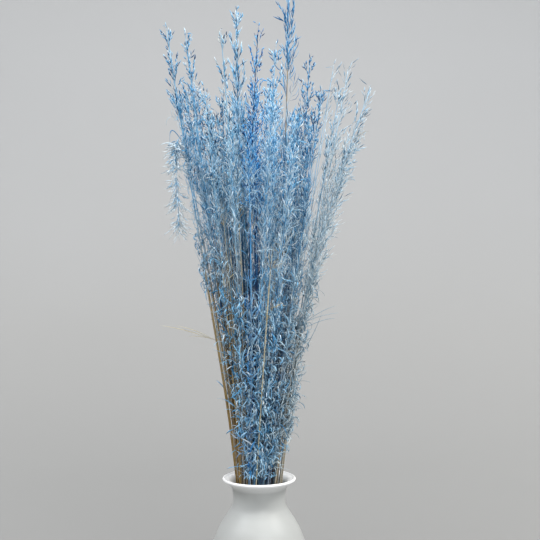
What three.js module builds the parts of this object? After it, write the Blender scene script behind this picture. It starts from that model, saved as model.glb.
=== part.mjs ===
// Dyed blue dried grass standing in a white ceramic vase.
// Millimetres, +Z up, the front of the bunch towards -Y.
// The origin is the centre of the vase's flat foot.

import * as THREE from "three";

// Vase: heights are from the foot, radii from the axis.
const VASE_HEIGHT = 210;
const LIP_RADIUS = 40;
const LIP_ROUND = 1.5;
const NECK_RADIUS = 28.4;
const NECK_HEIGHT = 187;
const SHOULDER_RADIUS = 49.4;
const SHOULDER_HEIGHT = 142;
const BELLY_RADIUS = 64.5;
const BELLY_HEIGHT = 82;
const FOOT_RADIUS = 41;
const FOOT_CHAMFER = 1.5;
const WALL = 3.6;
const FLOOR = 6;
const VASE_SIDES = 32;
const VASE_STEPS = 16;

// Bunch: the culms cross in a narrow waist inside the vase, lean in its neck and spread above it.
const PLANT_COUNT = 58;
const SEAT_GAP = 0.3;
const WAIST_HEIGHT = 60;
const WAIST_RADIUS = 14;
const LEAN = 0.14;
const BEND_HEIGHT = 290;
const BEND_LENGTH = 40;
const BEND_SLOPE = 0.06;
const BOW_HEIGHT = 360;
const BOW = 7;
const FIRST_ANGLE = 0.6;
const GOLDEN_ANGLE = Math.PI * (3 - Math.sqrt(5));

// Most tips end in a crown, which is lower at its edge.
const CROWN_HEIGHT = 590;
const CROWN_SPREAD = 65;
const CROWN_DROP = 20;

// The tips that stand clear of the crown: how far right of the axis, and how high.
const TALL_TIPS = [
  { right: 32, high: 742 },
  { right: -24, high: 713 },
  { right: 0, high: 685 },
  { right: -96, high: 687 },
  { right: -76, high: 680 },
  { right: -36, high: 668 },
  { right: 18, high: 659 },
  { right: 55, high: 664 },
  { right: 82, high: 660 },
  { right: 99, high: 660 },
  { right: 118, high: 627 },
];

// Bare undyed culms among the dyed ones.
const UNDYED_TIPS = [
  { right: -38, high: 500 },
  { right: -22, high: 512 },
  { right: 14, high: 455 },
  { right: 24, high: 470 },
];
const UNDYED_WHORLS = 2;

// Culm: a three-cornered stem, given by the radius to its corners.
const CORNERS = 3;
const CORNER_TURN = (2 * Math.PI) / CORNERS;
const CULM_RADIUS = 1.05;
const TIP_RADIUS = 0.62;
const CULM_STEP = 70;
const TIP_BUD = 11;

// Head: whorls of up to six side shoots. Each whorl grows between two rings of the culm, the upper
// one turned, and its shoots swing aside so that none of them leans into the next.
const HEAD_LENGTH = 300;
const HEAD_WHORLS = 9;
const WHORL_GAP = 3.2;
const WHORL_TURN = Math.PI / 6;
const LOWEST_WHORL = 262;
const SHOOTS_SHARE = 0.75;
const SHOOT_SWING = Math.PI / 5;

// Side shoots: length, angle from the culm, and the keel on the outside, with its place along the shoot.
const SPIKELET = { length: 13, splay: 0.35, keelAt: 0.45, keel: 1 };
const BRANCHLET = { length: 30, splay: 0.26, keelAt: 0.76, keel: 1.1 };
const BRISTLE = { length: 8, splay: 0.55, keelAt: 0, keel: 0.6 };
const STRIP = { length: 15, splay: 1.05, keelAt: 0.5, keel: 0.8 };

// One long pale leaf stands out of the bunch on its left side.
const LEAF = { length: 66, splay: 1.12, keelAt: 0.45, keel: 1 };
const LEAF_HEIGHT = 358;
const LEAF_SIDE = new THREE.Vector3(-1, -0.15, 0);

// A side shoot keeps this far from every other plant: it is shortened and tucked in until it does,
// while its tip still rises clear of the face that it grows from.
const CLEARANCE = 0.35;
const TRIES = 7;
const SHORTEN = 0.88;
const TUCK = 0.9;
const LEAST_RISE = 0.06;
const PROBE_START = 2.5;
const PROBE_STEP = 1.5;
const PROBE_REACH = 3;
const TIP_ROOM = 0.3;

// Dye across the bunch, each band up to this far right of the axis.
const DYE_BANDS = [
  { until: -60, colour: 0x7294b0 },
  { until: -14, colour: 0x5f7d90 },
  { until: 8, colour: 0x33618a },
  { until: 40, colour: 0x7d9fbd },
  { until: 75, colour: 0x4a7399 },
  { until: Infinity, colour: 0xa3b6c6 },
];
const UNDYED_COLOUR = 0x9a875c;
const CERAMIC_COLOUR = 0xe6e6e2;

// A repeatable number from 0 to 1 for each plant and purpose.
function draw(plant, purpose) {
  const wave = Math.sin(plant * 12.9898 + purpose * 78.233) * 43758.5453;
  return wave - Math.floor(wave);
}

// The outside of the vase, from the foot's edge up to the lip.
function vaseOutline() {
  return new THREE.SplineCurve([
    new THREE.Vector2(FOOT_RADIUS, FOOT_CHAMFER),
    new THREE.Vector2(0.5 * (FOOT_RADIUS + BELLY_RADIUS), 0.32 * BELLY_HEIGHT),
    new THREE.Vector2(BELLY_RADIUS, BELLY_HEIGHT),
    new THREE.Vector2(SHOULDER_RADIUS, SHOULDER_HEIGHT),
    new THREE.Vector2(NECK_RADIUS + 8.6, NECK_HEIGHT - 20),
    new THREE.Vector2(NECK_RADIUS + 1.2, NECK_HEIGHT - 8),
    new THREE.Vector2(NECK_RADIUS + 0.3, NECK_HEIGHT + 6),
    new THREE.Vector2(NECK_RADIUS + 3.4, NECK_HEIGHT + 15),
    new THREE.Vector2(LIP_RADIUS - 0.6 * LIP_ROUND, VASE_HEIGHT - 2 * LIP_ROUND),
  ]);
}

// One closed profile turned about the axis: foot, outside, round lip, inside, floor.
function makeVase() {
  const outline = vaseOutline();
  const outside = [];
  const inside = [];
  for (let step = 0; step <= VASE_STEPS; step++) {
    const along = step / VASE_STEPS;
    const point = outline.getPoint(along);
    const tangent = outline.getTangent(along);
    const inner = new THREE.Vector2(point.x - WALL * tangent.y, point.y + WALL * tangent.x);
    outside.push(point);
    if (inner.y > FLOOR + WALL && along < 0.97) inside.unshift(inner);
  }
  const profile = [
    new THREE.Vector2(0, 0),
    new THREE.Vector2(FOOT_RADIUS - FOOT_CHAMFER, 0),
    ...outside,
    new THREE.Vector2(LIP_RADIUS, VASE_HEIGHT - LIP_ROUND),
    new THREE.Vector2(LIP_RADIUS - LIP_ROUND, VASE_HEIGHT),
    new THREE.Vector2(LIP_RADIUS - 2.3 * LIP_ROUND, VASE_HEIGHT - 0.8 * LIP_ROUND),
    ...inside,
    new THREE.Vector2(FOOT_RADIUS - WALL, FLOOR),
    new THREE.Vector2(0, FLOOR),
  ];
  const geometry = new THREE.LatheGeometry(profile, VASE_SIDES);
  geometry.rotateX(Math.PI / 2);
  const material = new THREE.MeshStandardMaterial({
    color: CERAMIC_COLOUR,
    roughness: 0.55,
    metalness: 0,
  });
  const vase = new THREE.Mesh(geometry, material);
  vase.name = "vase";
  return vase;
}

// The bunch at a height: its radius, and how far it has turned about the axis.
function bunchAt(height) {
  const rise = LEAN * (height - WAIST_HEIGHT);
  const past = height - BEND_HEIGHT;
  const bend = 0.5 * BEND_SLOPE * (Math.hypot(past, BEND_LENGTH) + past);
  return { radius: Math.hypot(WAIST_RADIUS, rise) + bend, turn: Math.atan2(rise, WAIST_RADIUS) };
}

// The middle of a plant's culm at a height. Only the part above BOW_HEIGHT bows.
function culmPoint(plant, height) {
  const bunch = bunchAt(height);
  const reach = plant.place * bunch.radius;
  const angle = plant.angle + bunch.turn;
  const above = Math.max(0, height - BOW_HEIGHT) / (plant.tip - BOW_HEIGHT);
  const straight = new THREE.Vector3(reach * Math.cos(angle), reach * Math.sin(angle), height);
  return straight.addScaledVector(plant.bow, above ** 2);
}

function culmRadius(plant, height) {
  const above = Math.max(0, height - VASE_HEIGHT) / (plant.tip - VASE_HEIGHT);
  return THREE.MathUtils.lerp(CULM_RADIUS, TIP_RADIUS, above);
}

// The plant nearest to a wanted tip, in the front half of the bunch and not taken yet.
function nearestPlant(plants, wanted) {
  let best = null;
  let least = Infinity;
  for (const plant of plants) {
    if (plant.taken) continue;
    const at = culmPoint(plant, wanted.high);
    const miss = Math.abs(at.x - wanted.right) + 0.3 * Math.max(0, at.y);
    if (miss < least) {
      least = miss;
      best = plant;
    }
  }
  best.taken = true;
  best.tip = wanted.high;
  best.bow.x += wanted.right - culmPoint(best, wanted.high).x;
  return best;
}

// Places the plants in a spiral with even gaps, then gives each its height.
function setOutPlants() {
  const plants = [];
  for (let i = 0; i < PLANT_COUNT; i++) {
    const place = Math.sqrt((i + 0.5) / PLANT_COUNT);
    const tip = CROWN_HEIGHT + CROWN_SPREAD * draw(i, 1) - CROWN_DROP * place ** 2;
    plants.push({
      index: i,
      place,
      angle: FIRST_ANGLE + i * GOLDEN_ANGLE,
      tip,
      bow: new THREE.Vector3(BOW * (2 * draw(i, 3) - 1), BOW * (2 * draw(i, 4) - 1), 0),
      whorls: HEAD_WHORLS,
      headLength: HEAD_LENGTH * (0.85 + 0.3 * draw(i, 2)),
      taken: false,
      undyed: false,
      leafy: false,
    });
  }
  for (const wanted of TALL_TIPS) nearestPlant(plants, wanted);
  for (const wanted of UNDYED_TIPS) {
    const plant = nearestPlant(plants, wanted);
    plant.undyed = true;
    plant.whorls = UNDYED_WHORLS;
    plant.headLength = 0.25 * HEAD_LENGTH;
  }
  const leftOf = (plant) => culmPoint(plant, LEAF_HEIGHT).x;
  const leafy = plants.reduce((best, plant) => (leftOf(plant) < leftOf(best) ? plant : best));
  leafy.leafy = true;
  leafy.headLength = leafy.tip - LEAF_HEIGHT;
  return plants;
}

// The rings of a culm from its cut foot to the bud at its tip, and which of them carry a whorl.
function culmRings(plant) {
  const rings = [{ height: FLOOR + SEAT_GAP, turn: plant.angle, whorl: -1 }];
  const top = plant.tip - TIP_BUD - WHORL_GAP - 6;
  const bottom = Math.max(LOWEST_WHORL, plant.tip - plant.headLength);
  const step = (top - bottom) / (plant.whorls - 1);
  let turn = plant.angle;
  let height = VASE_HEIGHT + 3;
  while (height < bottom - 0.5 * CULM_STEP) {
    rings.push({ height, turn, whorl: -1 });
    height += CULM_STEP;
  }
  for (let whorl = 0; whorl < plant.whorls; whorl++) {
    turn += WHORL_TURN;
    const jitter = whorl > 0 && whorl < plant.whorls - 1 ? draw(plant.index, 20 + whorl) - 0.5 : 0;
    const base = bottom + step * (whorl + 0.35 * jitter);
    rings.push({ height: base, turn, whorl });
    rings.push({ height: base + WHORL_GAP, turn, whorl: -1 });
  }
  rings.push({ height: plant.tip - TIP_BUD, turn: turn + WHORL_TURN, whorl: -1 });
  return rings;
}

// The shoot that grows on one face of a whorl.
function shootKind(plant, whorl, face) {
  const chance = draw(plant.index, 40 + 6 * whorl + face);
  if (whorl < 2 && chance < 0.5) return STRIP;
  if ((whorl + face) % 2 === 0 && whorl < plant.whorls - 1) return BRANCHLET;
  return chance < 0.3 ? BRISTLE : SPIKELET;
}

// The middle line of a shoot: the point at a share of its length.
function shootAt(shoot, share) {
  return shoot.root
    .clone()
    .addScaledVector(shoot.along, Math.cos(shoot.splay) * shoot.length * share)
    .addScaledVector(shoot.outward, Math.sin(shoot.splay) * shoot.length * share);
}

// Balls along a shoot that stand for the room it takes.
function shootBalls(plant, shoot) {
  const balls = [];
  for (let at = PROBE_START; at < shoot.length; at += PROBE_STEP) {
    balls.push({ plant, point: shootAt(shoot, at / shoot.length), radius: shoot.keel });
  }
  balls.push({ plant, point: shootAt(shoot, 1), radius: TIP_ROOM });
  return balls;
}

// Whether balls are clear of every other plant's culm and of its shoots set so far.
function isClear(balls, plants, taken) {
  for (const ball of balls) {
    for (const other of plants) {
      if (other === ball.plant || ball.point.z > other.tip + CULM_RADIUS) continue;
      const gap = culmPoint(other, ball.point.z).distanceTo(ball.point);
      if (gap < ball.radius + 1.5 * CULM_RADIUS + CLEARANCE) return false;
    }
    for (const set of taken) {
      if (set.plant === ball.plant || Math.abs(set.point.z - ball.point.z) > PROBE_REACH) continue;
      if (set.point.distanceTo(ball.point) < set.radius + ball.radius + CLEARANCE) return false;
    }
  }
  return true;
}

// The way that a triangle faces.
function normalOf(a, b, c) {
  return b.clone().sub(a).cross(c.clone().sub(a)).normalize();
}

// Raises one face of the skin into a pointed shoot, with a keel on its outside.
function raiseShoot(skin, face, shoot) {
  const [a, b, c] = face;
  const end = shootAt(shoot, 1);
  const tip = skin.points.push(end) - 1;
  skin.faces.push([b, c, tip], [c, a, tip]);
  if (shoot.keelAt === 0) {
    skin.faces.push([a, b, tip]);
    return;
  }
  const outside = normalOf(skin.points[a], skin.points[b], end);
  const middle = shootAt(shoot, shoot.keelAt);
  const keel = skin.points.push(middle.addScaledVector(outside, shoot.keel)) - 1;
  skin.faces.push([a, b, keel], [b, tip, keel], [tip, a, keel]);
}

// The face that looks most towards a side.
function faceTowards(skin, faces, side) {
  const looks = faces.map((face) => normalOf(...face.map((index) => skin.points[index])).dot(side));
  return looks.indexOf(Math.max(...looks));
}

// Two faces for each side between a lower and an upper ring.
function joinRings(lower, upper) {
  const faces = [];
  for (let side = 0; side < CORNERS; side++) {
    const next = (side + 1) % CORNERS;
    faces.push([lower[side], lower[next], upper[next]]);
    faces.push([lower[side], upper[next], upper[side]]);
  }
  return faces;
}

// A shoot on a face that is clear of its neighbours, or null where there is no room.
function findShoot(skin, face, kind, swing, plant, plants, taken) {
  const [a, b, c] = face.map((index) => skin.points[index]);
  const root = a.clone().add(b).add(c).divideScalar(3);
  const along = culmPoint(plant, root.z + 1).sub(culmPoint(plant, root.z - 1)).normalize();
  const flat = normalOf(a, b, c);
  const normal = flat.clone().addScaledVector(along, -flat.dot(along)).normalize();
  const sideways = along.clone().cross(normal);
  const outward = normal.multiplyScalar(Math.cos(swing)).addScaledVector(sideways, Math.sin(swing));
  if (kind === LEAF) outward.copy(LEAF_SIDE).addScaledVector(along, -along.dot(LEAF_SIDE)).normalize();
  const size = 0.8 + 0.4 * draw(plant.index, root.z);
  for (let attempt = 0; attempt < TRIES; attempt++) {
    const length = kind.length * size * SHORTEN ** attempt;
    const splay = kind.splay * TUCK ** attempt;
    const shoot = { ...kind, root, along, outward, length, splay };
    const rise = shootAt(shoot, 1).sub(root).dot(flat);
    if (rise < LEAST_RISE * length) return null;
    const balls = shootBalls(plant, shoot);
    if (!isClear(balls, plants, taken)) continue;
    taken.push(...balls);
    return shoot;
  }
  return null;
}

// The corners of a culm's ring, as places in the skin's list of points.
function ringCorners(skin, plant, ring) {
  const centre = culmPoint(plant, ring.height);
  const radius = culmRadius(plant, ring.height);
  const corners = [];
  for (let corner = 0; corner < CORNERS; corner++) {
    const turn = ring.turn + corner * CORNER_TURN;
    const arm = new THREE.Vector3(radius * Math.cos(turn), radius * Math.sin(turn), 0);
    corners.push(skin.points.push(arm.add(centre)) - 1);
  }
  return corners;
}

// The whole plant as one skin: a culm with its cut foot, its whorls of shoots and its tip.
function plantSkin(plant, plants, taken) {
  const skin = { points: [], faces: [] };
  const rings = culmRings(plant);
  const corners = rings.map((ring) => ringCorners(skin, plant, ring));
  skin.faces.push([...corners[0]].reverse());
  for (let k = 0; k + 1 < rings.length; k++) {
    const { whorl } = rings[k];
    const faces = joinRings(corners[k], corners[k + 1]);
    const leafFace = plant.leafy && whorl === 0 ? faceTowards(skin, faces, LEAF_SIDE) : -1;
    faces.forEach((face, place) => {
      const chance = draw(plant.index, 100 + 6 * whorl + place);
      const grows = whorl >= 0 && (chance < SHOOTS_SHARE || place === leafFace);
      const swing = place % 2 === 0 ? SHOOT_SWING : -SHOOT_SWING;
      const kind = place === leafFace ? LEAF : shootKind(plant, whorl, place);
      const shoot = grows ? findShoot(skin, face, kind, swing, plant, plants, taken) : null;
      if (shoot) raiseShoot(skin, face, shoot);
      else skin.faces.push(face);
    });
  }
  const tip = skin.points.push(culmPoint(plant, plant.tip)) - 1;
  const last = corners[corners.length - 1];
  last.forEach((corner, side) => skin.faces.push([corner, last[(side + 1) % CORNERS], tip]));
  return skin;
}

function dyeOf(plant) {
  if (plant.undyed) return UNDYED_COLOUR;
  const right = culmPoint(plant, plant.tip).x;
  return DYE_BANDS.find((band) => right < band.until).colour;
}

function makePlant(plant, plants, taken, name) {
  const skin = plantSkin(plant, plants, taken);
  const geometry = new THREE.BufferGeometry().setFromPoints(skin.points);
  geometry.setIndex(skin.faces.flat());
  geometry.computeVertexNormals();
  const material = new THREE.MeshStandardMaterial({
    color: dyeOf(plant),
    roughness: 0.85,
    metalness: 0,
  });
  const mesh = new THREE.Mesh(geometry, material);
  mesh.name = name;
  return mesh;
}

const part = new THREE.Group();
part.name = "dried_grass_in_vase";
part.add(makeVase());
const plants = setOutPlants();
const takenRoom = [];
let sprays = 0;
let undyedCulms = 0;
for (const plant of plants) {
  const number = plant.undyed ? ++undyedCulms : ++sprays;
  const name = (plant.undyed ? "undyed_culm_" : "spray_") + String(number).padStart(2, "0");
  part.add(makePlant(plant, plants, takenRoom, name));
}

export default part;
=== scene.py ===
# Dried grass, dyed blue, standing in a matte white ceramic vase.
# Metres, +Z up, the front towards -Y, the origin under the middle of the vase.
import itertools
import math

import bpy
import numpy as np
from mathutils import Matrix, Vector


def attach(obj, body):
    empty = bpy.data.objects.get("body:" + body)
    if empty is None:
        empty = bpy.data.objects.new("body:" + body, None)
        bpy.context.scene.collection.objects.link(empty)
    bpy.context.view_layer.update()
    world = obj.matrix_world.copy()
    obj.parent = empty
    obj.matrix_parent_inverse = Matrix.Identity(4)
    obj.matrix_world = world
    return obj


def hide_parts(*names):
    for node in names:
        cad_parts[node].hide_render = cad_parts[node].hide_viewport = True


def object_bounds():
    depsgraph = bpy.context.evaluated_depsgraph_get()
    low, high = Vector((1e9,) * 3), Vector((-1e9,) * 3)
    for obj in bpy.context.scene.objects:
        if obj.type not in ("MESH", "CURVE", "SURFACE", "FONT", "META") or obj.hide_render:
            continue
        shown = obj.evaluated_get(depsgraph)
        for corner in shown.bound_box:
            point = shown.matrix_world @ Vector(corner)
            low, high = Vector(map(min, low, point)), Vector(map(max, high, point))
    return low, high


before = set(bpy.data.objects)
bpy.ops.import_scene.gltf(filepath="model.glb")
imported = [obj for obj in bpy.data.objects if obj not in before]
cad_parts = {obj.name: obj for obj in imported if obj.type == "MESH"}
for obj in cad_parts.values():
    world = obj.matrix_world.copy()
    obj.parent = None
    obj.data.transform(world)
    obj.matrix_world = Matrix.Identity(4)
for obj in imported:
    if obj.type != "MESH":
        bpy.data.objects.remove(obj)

bpy.context.view_layer.update()
cadLow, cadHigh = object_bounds()
boxLow, boxHigh = np.array(cadLow), np.array(cadHigh)
random = np.random.default_rng(1907)
mm = 0.001
up = np.array([0.0, 0.0, 1.0])


# Helpers

def linear(colour):
    # sRGB hex to the linear colour that sockets want
    channels = [int(colour[k:k + 2], 16) / 255 for k in (1, 3, 5)]
    return [c / 12.92 if c <= 0.04045 else ((c + 0.055) / 1.055) ** 2.4 for c in channels] + [1.0]


def addNode(tree, kind, inputs=None, **settings):
    # An input that is a node or a socket is linked, a node by its first output
    node = tree.nodes.new("ShaderNode" + kind)
    for key, value in settings.items():
        setattr(node, key, value)
    for key, value in (inputs or {}).items():
        if isinstance(value, bpy.types.Node):
            value = value.outputs[0]
        if isinstance(value, bpy.types.NodeSocket):
            tree.links.new(value, node.inputs[key])
        else:
            node.inputs[key].default_value = value
    return node


def newMaterial(name):
    material = bpy.data.materials.new(name)
    material.use_nodes = True
    material.node_tree.nodes.clear()
    return material, material.node_tree


def addObject(name, data):
    thing = bpy.data.objects.new(name, data)
    bpy.context.scene.collection.objects.link(thing)
    return thing


def setRamp(ramp, places, colours):
    while len(ramp.elements) < len(colours):
        ramp.elements.new(0.5)
    for element, place, colour in zip(ramp.elements, places, colours):
        element.position = place
        element.color = linear(colour)


# Finishes

# Dip-dyed grass: each dye runs from its darkest to what it leaves on dry tips; a strand's tone picks its
# place, and a low tone also serves as painted shade
dyes = {
    "grass_mid_blue": ("#165380", "#4b9cce", "#98cbea", "#dcebf5"),
    "grass_steel_blue": ("#16496c", "#529ccb", "#9bd3f3", "#daedf9"),
    "grass_deep_blue": ("#052f5c", "#1777c0", "#58b3ec", "#bfe3f9"),
    "grass_light_blue": ("#2a76aa", "#7cc5f2", "#bbe3fa", "#e8f5fd"),
    "grass_strong_blue": ("#0e4673", "#3c8bc0", "#82bce0", "#cbe2f0"),
    "grass_pale_blue": ("#4a7895", "#9fc6df", "#c6dfee", "#e3f1f9"),
    "straw_undyed": ("#4a4130", "#a0906a", "#cfc19a", "#ece3c6"),
}
# Straw that the dye didn't reach, from sheath kept from the sun to sun-bleached rib; a low tone also serves
# as painted shade
strawStops = ("#4d3b18", "#a18144", "#c6a664", "#e0cd9a")
rampPlaces = (0.0, 0.3, 0.6, 0.95)

grassFinish = {
    "fibreWidth": 1.1 * mm,  # real fibres are 0.1 mm; drawn coarser so that they show
    "fibreStretch": (1.0, 1.0, 0.12),  # they run along the stems
    "fibreShare": 0.35,
    "blotchSize": 16 * mm,  # uneven take-up of the dye
    "blotchShare": 0.30,
    "patternMean": 0.32,  # taken out again, so that each strand keeps its own tone
    "bump": 0.35,
    "bumpDepth": 0.12 * mm,
    "roughness": (0.66, 0.90),
    "ior": 1.45,
    "specular": 0.22,  # dry fibres scatter most of the shine away
    "sheen": 0.02,
}


def dryGrass(slot):
    # Air-dried grass, dip-dyed but for the straw: matt, streaked along the fibre, paler where it bleached.
    # Its tone also carries painted shade deep in the bunch and painted light lower in the heads.
    # Gives the eye fine pale and dark streaks and an uneven dye.
    made = "air_dried_" if slot == "straw_undyed" else "dip_dyed_dried_"
    look = grassFinish
    material, tree = newMaterial(made + slot)
    place = addNode(tree, "TexCoord").outputs["Object"]
    tone = addNode(tree, "Attribute", attribute_name="tone").outputs["Fac"]
    dye = addNode(tree, "Attribute", attribute_name="dye").outputs["Fac"]
    alongStem = addNode(tree, "Mapping", {"Vector": place, "Scale": look["fibreStretch"]})
    fibre = addNode(tree, "TexNoise", {
        "Vector": alongStem,
        "Scale": 1 / look["fibreWidth"],
        "Roughness": 0.6,
    })
    blotch = addNode(tree, "TexNoise", {"Vector": place, "Scale": 1 / look["blotchSize"]})
    level = tone
    for pattern, share in ((fibre, "fibreShare"), (blotch, "blotchShare")):
        inputs = {0: pattern, 1: look[share], 2: level}
        level = addNode(tree, "Math", inputs, operation="MULTIPLY_ADD")
    level = addNode(tree, "Math", {0: level, 1: look["patternMean"]}, operation="SUBTRACT")
    dyed = addNode(tree, "ValToRGB", {"Fac": level})
    setRamp(dyed.color_ramp, rampPlaces, dyes[slot])
    straw = addNode(tree, "ValToRGB", {"Fac": level})
    setRamp(straw.color_ramp, rampPlaces, strawStops)
    colour = addNode(tree, "Mix", {"Factor": dye, 6: straw, 7: dyed}, data_type="RGBA").outputs[2]
    bump = addNode(tree, "Bump", {"Height": fibre, "Strength": look["bump"], "Distance": look["bumpDepth"]})
    least, most = look["roughness"]
    roughness = addNode(tree, "MapRange", {"Value": fibre, "To Min": least, "To Max": most})
    shader = addNode(tree, "BsdfPrincipled", {
        "Base Color": colour,
        "Roughness": roughness,
        "IOR": look["ior"],
        "Specular IOR Level": look["specular"],
        "Sheen Weight": look["sheen"],
        "Normal": bump,
    })
    addNode(tree, "OutputMaterial", {"Surface": shader})
    return material


ceramicFinish = {
    "white": "#bbbdbb",
    "shade": "#b2b4b1",
    "rim": "#ffffff",
    "rimFrom": 198 * mm,  # heights between which the lip is painted up to white, a painted highlight
    "rimTo": 207 * mm,
    "cloudSize": 30 * mm,
    "grainSize": 0.7 * mm,  # sanded grain is near 0.2 mm; drawn coarser so that it shows
    "bump": 0.25,
    "bumpDepth": 0.04 * mm,
    "roughness": (0.36, 0.48),
    "ior": 1.5,
}


def matteCeramic():
    # Slip-cast white stoneware with a matte glaze: soft broad highlights, the faintest clouding
    # and a fine eggshell grain. The top of the lip is painted white, a painted highlight.
    look = ceramicFinish
    material, tree = newMaterial("matte_glazed_white_stoneware")
    place = addNode(tree, "TexCoord").outputs["Object"]
    cloud = addNode(tree, "TexNoise", {"Vector": place, "Scale": 1 / look["cloudSize"], "Detail": 3.0})
    grain = addNode(tree, "TexNoise", {"Vector": place, "Scale": 1 / look["grainSize"]})
    shade, white, rim = [linear(look[key]) for key in ("shade", "white", "rim")]
    body = addNode(tree, "Mix", {"Factor": cloud, 6: shade, 7: white}, data_type="RGBA").outputs[2]
    # Painted highlight: the top of the lip fades to white as it rises
    towardsLipHighlight = addNode(tree, "MapRange", {
        "Value": addNode(tree, "SeparateXYZ", {"Vector": place}).outputs["Z"],
        "From Min": look["rimFrom"],
        "From Max": look["rimTo"],
    })
    colour = addNode(tree, "Mix", {"Factor": towardsLipHighlight, 6: body, 7: rim}, data_type="RGBA").outputs[2]
    least, most = look["roughness"]
    roughness = addNode(tree, "MapRange", {"Value": cloud, "To Min": least, "To Max": most})
    bump = addNode(tree, "Bump", {"Height": grain, "Strength": look["bump"], "Distance": look["bumpDepth"]})
    shader = addNode(tree, "BsdfPrincipled", {
        "Base Color": colour,
        "Roughness": roughness,
        "IOR": look["ior"],
        "Normal": bump,
    })
    addNode(tree, "OutputMaterial", {"Surface": shader})
    return material


paperFinish = {
    "colours": ("#8b8b8a", "#b4b4b3", "#c6c7c8"),
    "places": (0.0, 0.66, 1.0),
    "near": 0.4,  # metres from the vase where it is darkest, and palest
    "far": 2.9,
    "cloudsPerMetre": 1.2,
    "cloudShare": 0.2,
    "roughness": 0.9,
}


def studioPaper():
    # Matt backdrop paper, uncoated: a plain pale ground, painted darker near the middle and paler away from
    # the lamps, as painted light that evens out how their light falls off
    look = paperFinish
    material, tree = newMaterial("matt_backdrop_paper")
    place = addNode(tree, "TexCoord").outputs["Object"]
    level = addNode(tree, "VectorMath", {0: place, 1: (1.0, 1.0, 0.0)}, operation="MULTIPLY")
    away = addNode(tree, "VectorMath", {0: level}, operation="LENGTH").outputs["Value"]
    cloud = addNode(tree, "TexNoise", {"Vector": place, "Scale": look["cloudsPerMetre"]})
    inputs = {0: cloud, 1: look["cloudShare"], 2: away}
    # Painted light: paler with distance from the middle, where less lamp light reaches
    distance = addNode(tree, "MapRange", {
        "Value": addNode(tree, "Math", inputs, operation="MULTIPLY_ADD"),
        "From Min": look["near"],
        "From Max": look["far"],
    })
    colour = addNode(tree, "ValToRGB", {"Fac": distance})
    setRamp(colour.color_ramp, look["places"], look["colours"])
    shader = addNode(tree, "BsdfPrincipled", {"Base Color": colour, "Roughness": look["roughness"]})
    addNode(tree, "OutputMaterial", {"Surface": shader})
    return material


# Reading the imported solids

tolerance = 0.002 * mm  # corners nearer than this are level with each other


def readNode(name):
    # The node's own corner points, each once, and its triangles
    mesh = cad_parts[name].data
    points = np.empty(len(mesh.vertices) * 3)
    mesh.vertices.foreach_get("co", points)
    loops = np.empty(len(mesh.loops), int)
    mesh.loops.foreach_get("vertex_index", loops)
    points, where = np.unique(points.reshape(-1, 3).round(7), axis=0, return_inverse=True)
    return points, where.ravel()[loops].reshape(-1, 3)


def neighboursOf(faces):
    around = {}
    for face in faces:
        for corner in face:
            around.setdefault(corner, set()).update(face)
    return around


def smallestTriple(points, level):
    return min(
        itertools.combinations(level, 3),
        key=lambda trio: np.ptp(points[list(trio)], axis=0).sum(),
    )


def readPlant(name):
    # A culm's rings are the corners that share a height by threes; all other corners are shoots
    points, faces = readNode(name)
    order = np.argsort(points[:, 2])
    breaks = np.flatnonzero(np.diff(points[order, 2]) > tolerance) + 1
    rings = [smallestTriple(points, level) for level in np.split(order, breaks) if len(level) >= 3]
    inRing = {corner for ring in rings for corner in ring}
    apex = int(order[-1])
    centres = [points[list(ring)].mean(axis=0) for ring in rings] + [points[apex]]
    shoots = []
    for corner, around in neighboursOf(faces).items():
        if corner in inRing or corner == apex:
            continue
        held = [other for other in around if other in inRing]
        if len(held) == 3:
            shoots.append({"root": points[held].mean(axis=0), "tip": points[corner]})
    return {"name": name, "centres": np.array(centres), "top": points[apex][2], "shoots": shoots}


def smoothThrough(known, values, places):
    # A smooth line through the values that are known at some places, read at others
    slope = np.gradient(values, known, axis=0)
    below = np.clip(np.searchsorted(known, places) - 1, 0, len(known) - 2)
    step = (known[below + 1] - known[below])[:, None]
    t = ((places - known[below])[:, None] / step).clip(0, 1)
    start = (2 * t ** 3 - 3 * t ** 2 + 1) * values[below] + (t ** 3 - 2 * t ** 2 + t) * step * slope[below]
    end = (3 * t ** 2 - 2 * t ** 3) * values[below + 1] + (t ** 3 - t ** 2) * step * slope[below + 1]
    return start + end


def culmAt(plant, heights):
    # The middle of a plant's culm at these heights
    return smoothThrough(plant["centres"][:, 2], plant["centres"], heights)


# Strands: everything that grows is a strand swept along a line, closed to a point at both ends

def unit(vectors):
    return vectors / np.maximum(np.linalg.norm(vectors, axis=-1, keepdims=True), 1e-12)


def levelWay(turn):
    return np.stack([np.cos(turn), np.sin(turn), 0 * turn], axis=-1)


def across(vectors, along):
    # The part of each vector that stands square to another, as a unit vector
    return unit(vectors - along * (vectors * along).sum(axis=-1, keepdims=True))


def tubeFaces(rings, sides):
    # The triangles of a point, some rings of corners, and a point, numbered in that order
    turn = np.arange(sides)
    after = (turn + 1) % sides
    faces = [np.stack([0 * turn, 1 + after, 1 + turn], axis=1)]
    for ring in range(rings - 1):
        low = 1 + ring * sides
        high = low + sides
        faces.append(np.stack([low + turn, low + after, high + after], axis=1))
        faces.append(np.stack([low + turn, high + after, high + turn], axis=1))
    last = 1 + (rings - 1) * sides
    faces.append(np.stack([last + turn, last + after, 0 * turn + last + sides], axis=1))
    return np.concatenate(faces)


def spread(values, share, size):
    # One value for each corner of each strand, from values given along it
    values = np.asarray(values, float)
    if values.ndim == 1 or values.shape[1] == 1:
        return np.repeat(values.reshape(-1, 1), size, axis=1)
    given = np.linspace(0, 1, values.shape[1])
    return np.array([np.interp(share, given, row) for row in values])


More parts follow.
